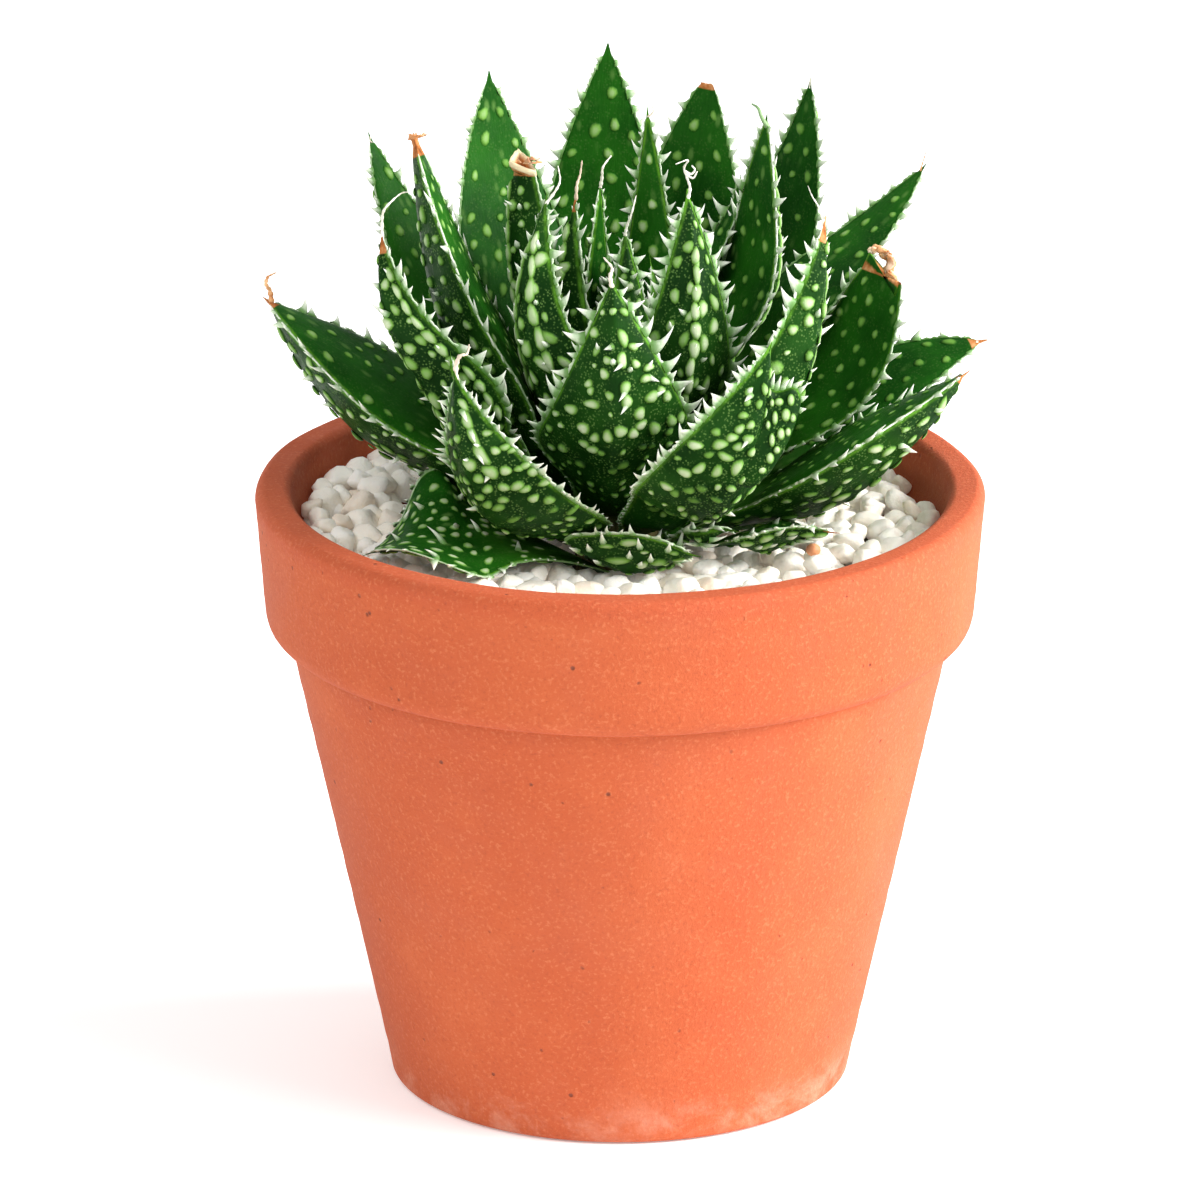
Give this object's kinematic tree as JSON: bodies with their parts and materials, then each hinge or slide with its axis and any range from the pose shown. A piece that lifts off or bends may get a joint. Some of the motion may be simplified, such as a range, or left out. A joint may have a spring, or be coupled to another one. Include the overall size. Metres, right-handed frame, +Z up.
{
  "type": "potted aloe",
  "caption": "Small rosette of spotted, toothed succulent leaves on a short crown, planted in a terracotta collar pot under a pale pebble top dressing.",
  "frame": {"origin": "centre of the underside of the pot, on the pot's axis", "axes": "+Z up along the pot's axis, -Y towards the front of the picture, +X to its right"},
  "size_m": [0.12, 0.12, 0.1654],
  "materials": {
    "terracotta": "matt unglazed fired clay with fine grain",
    "pebbles": "smooth matt white and cream pebbles",
    "potting_soil": "dark crumbly potting soil",
    "crown_tissue": "dry fibrous stem",
    "leaf": "satin dark green leaf skin with raised pale spots and white teeth"
  },
  "bodies": {
    "root": {"crown": "crown_tissue", "gravel": "pebbles", "leaf_back_cut": "leaf", "leaf_back_left": "leaf", "leaf_back_left_tall": "leaf", "leaf_back_right": "leaf", "leaf_back_right_tall": "leaf", "leaf_back_top": "leaf", "leaf_centre_left": "leaf", "leaf_centre_right": "leaf", "leaf_far_left": "leaf", "leaf_far_right": "leaf", "leaf_front_centre": "leaf", "leaf_front_left": "leaf", "leaf_front_right": "leaf", "leaf_heart_back": "leaf", "leaf_heart_front": "leaf", "leaf_heart_left": "leaf", "leaf_heart_right": "leaf", "leaf_hidden_back": "leaf", "leaf_hidden_back_left": "leaf", "leaf_hidden_back_right": "leaf", "leaf_hidden_mid_back": "leaf", "leaf_hidden_mid_left": "leaf", "leaf_hidden_mid_right": "leaf", "leaf_hidden_side_left": "leaf", "leaf_hidden_side_right": "leaf", "leaf_inner_back": "leaf", "leaf_inner_left": "leaf", "leaf_inner_tall": "leaf", "leaf_left": "leaf", "leaf_left_cut": "leaf", "leaf_left_front_small": "leaf", "leaf_left_stump": "leaf", "leaf_low_front": "leaf", "leaf_low_front_small": "leaf", "leaf_low_left": "leaf", "leaf_low_right": "leaf", "leaf_low_right_small": "leaf", "leaf_right_behind": "leaf", "leaf_right_front": "leaf", "leaf_right_red_tip": "leaf", "leaf_right_tall": "leaf", "leaf_right_torn": "leaf", "pot": "terracotta", "soil": "potting_soil"}
  },
  "joints": []
}
